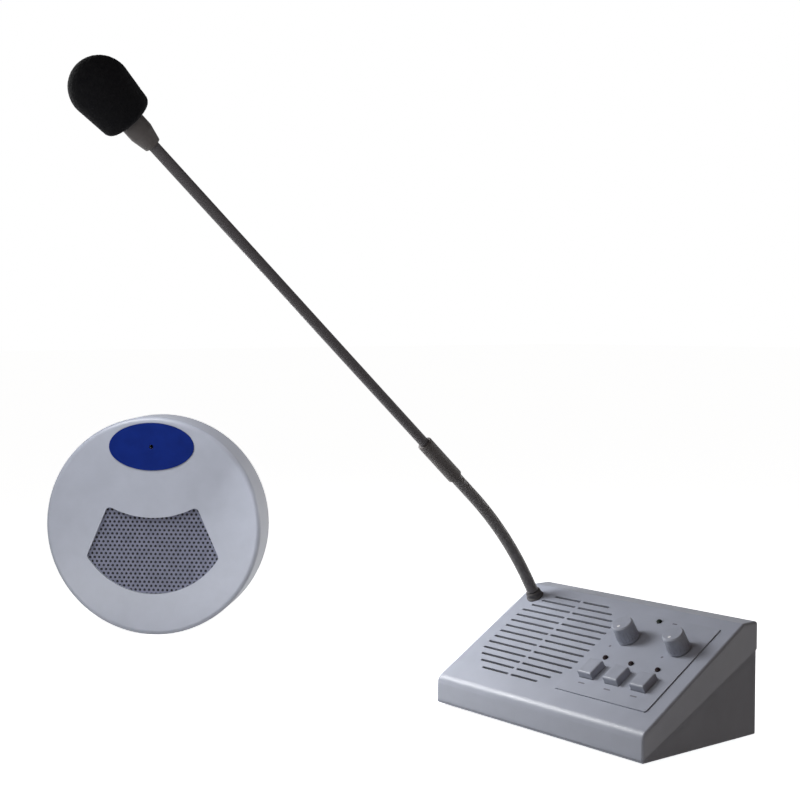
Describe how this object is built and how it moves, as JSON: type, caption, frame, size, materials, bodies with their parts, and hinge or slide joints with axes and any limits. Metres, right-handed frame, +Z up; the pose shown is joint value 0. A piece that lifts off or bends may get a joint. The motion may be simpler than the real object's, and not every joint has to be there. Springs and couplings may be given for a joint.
{
  "type": "teller window intercom",
  "caption": "Sloping desk console with slotted loudspeaker grille, push buttons and volume knobs, a gooseneck microphone, and a round window unit with grille.",
  "frame": {"origin": "centre of the console's footprint, on the desk surface", "axes": "+X to the teller's right along the console's width, +Y to the console's rear, +Z up"},
  "size_m": [0.496, 0.3145, 0.3386],
  "materials": {
    "housing": "fine satin texture",
    "base": "fine satin texture",
    "plate": "satin",
    "foot": "matte",
    "cloth": "woven",
    "key": "satin",
    "switch": "moulded",
    "lamp_red": "clear tinted",
    "lamp_green": "clear tinted",
    "pot": "pressed",
    "shaft": "turned",
    "knob": "satin",
    "board": "lacquered",
    "socket": "moulded",
    "capacitor": "sleeved",
    "heat_sink": "extruded",
    "bush": "satin",
    "nut": "turned",
    "neck": "satin black",
    "ferrule": "satin black",
    "tube": "satin black",
    "capsule": "satin",
    "foam": "open foam",
    "back": "fine texture",
    "mesh": "perforated",
    "badge": "smooth",
    "boot": "matte",
    "pad": "foam rubber",
    "basket": "pressed",
    "cone": "paper",
    "magnet": "ground",
    "clamp": "zinc plated",
    "screw": "zinc plated"
  },
  "bodies": {
    "intercom": {"top_cover": "housing", "base_shell": "base", "control_plate": "plate", "rubber_feet": "foot", "grille_cloth": "cloth", "left_switch": "switch", "middle_switch": "switch", "right_switch": "switch", "status_lamps": "lamp_red", "power_lamp": "lamp_green", "left_volume_control": "pot", "right_volume_control": "pot", "main_board": "board", "socket_board": "board", "power_inlet": "socket", "window_unit_socket": "socket", "recording_socket": "socket", "capacitors": "capacitor", "amplifier_heat_sink": "heat_sink", "neck_bush": "bush", "neck_nut": "nut", "window_shell": "housing", "window_back_plate": "back", "window_grille": "mesh", "window_badge": "badge", "window_microphone_boot": "boot", "window_microphone_capsule": "capsule", "window_socket": "socket", "window_mounting_pad": "pad", "console_speaker_basket": "basket", "console_speaker_cone": "cone", "console_speaker_magnet": "magnet", "window_speaker_basket": "basket", "window_speaker_cone": "cone", "window_speaker_magnet": "magnet", "speaker_clamps": "clamp", "speaker_screws": "screw", "case_screws": "screw", "board_screws": "screw"},
    "left_button": {"left_button": "key"},
    "middle_button": {"middle_button": "key"},
    "right_button": {"right_button": "key"},
    "left_volume": {"left_volume_shaft": "shaft", "left_volume_knob": "knob"},
    "right_volume": {"right_volume_shaft": "shaft", "right_volume_knob": "knob"},
    "neck_1": {"neck_link_1": "neck"},
    "neck_2": {"neck_link_2": "neck"},
    "neck_3": {"neck_link_3": "neck"},
    "neck_4": {"neck_link_4": "neck"},
    "neck_5": {"neck_link_5": "neck"},
    "neck_6": {"neck_link_6": "neck"},
    "neck_7": {"neck_link_7": "neck"},
    "neck_8": {"neck_link_8": "neck"},
    "microphone": {"neck_ferrule": "ferrule", "neck_upper_tube": "tube", "microphone_collar": "ferrule", "microphone_capsule": "capsule", "foam_windscreen": "foam"}
  },
  "joints": [
    {"name": "left_button_press", "type": "slide", "parent": "intercom", "child": "left_button", "axis": [0, 0.509, -0.8607], "range_m": [0, 0.002], "stiffness_N_per_m": 300, "springref_m": -0.002},
    {"name": "middle_button_press", "type": "slide", "parent": "intercom", "child": "middle_button", "axis": [0, 0.509, -0.8607], "range_m": [0, 0.002], "stiffness_N_per_m": 300, "springref_m": -0.002},
    {"name": "right_button_press", "type": "slide", "parent": "intercom", "child": "right_button", "axis": [0, 0.509, -0.8607], "range_m": [0, 0.002], "stiffness_N_per_m": 300, "springref_m": -0.002},
    {"name": "left_volume_turn", "type": "hinge", "parent": "intercom", "child": "left_volume", "pos_m": [0.0205, 0.00735, 0.04748], "axis": [0, 0.509, -0.8607], "range_deg": [-150, 150]},
    {"name": "right_volume_turn", "type": "hinge", "parent": "intercom", "child": "right_volume", "pos_m": [0.0557, 0.00735, 0.04748], "axis": [0, 0.509, -0.8607], "range_deg": [-150, 150]},
    {"name": "neck_bend_1", "type": "hinge", "parent": "intercom", "child": "neck_1", "pos_m": [-0.0672, 0.01997, 0.06052], "axis": [1, 0, 0], "range_deg": [-12, 9]},
    {"name": "neck_sway_1", "type": "hinge", "parent": "neck_1", "child": "neck_2", "pos_m": [-0.0672, 0.01417, 0.07033], "axis": [0, 0.8336, 0.5523], "range_deg": [-12, 12]},
    {"name": "neck_bend_2", "type": "hinge", "parent": "neck_2", "child": "neck_3", "pos_m": [-0.0672, 0.00787, 0.07983], "axis": [1, 0, 0], "range_deg": [-12, 9]},
    {"name": "neck_sway_2", "type": "hinge", "parent": "neck_3", "child": "neck_4", "pos_m": [-0.0672, 0.0011, 0.089], "axis": [0, 0.773, 0.6344], "range_deg": [-12, 12]},
    {"name": "neck_bend_3", "type": "hinge", "parent": "neck_4", "child": "neck_5", "pos_m": [-0.0672, -0.00613, 0.09781], "axis": [1, 0, 0], "range_deg": [-12, 9]},
    {"name": "neck_sway_3", "type": "hinge", "parent": "neck_5", "child": "neck_6", "pos_m": [-0.0672, -0.0138, 0.10625], "axis": [0, 0.7043, 0.7099], "range_deg": [-12, 12]},
    {"name": "neck_bend_4", "type": "hinge", "parent": "neck_6", "child": "neck_7", "pos_m": [-0.0672, -0.0219, 0.11428], "axis": [1, 0, 0], "range_deg": [-12, 9]},
    {"name": "neck_sway_4", "type": "hinge", "parent": "neck_7", "child": "neck_8", "pos_m": [-0.0672, -0.03039, 0.12188], "axis": [0, 0.6672, 0.7449], "range_deg": [-12, 12]},
    {"name": "neck_bend_5", "type": "hinge", "parent": "neck_8", "child": "microphone", "pos_m": [-0.0672, -0.03888, 0.12949], "axis": [1, 0, 0], "range_deg": [-12, 9]}
  ]
}
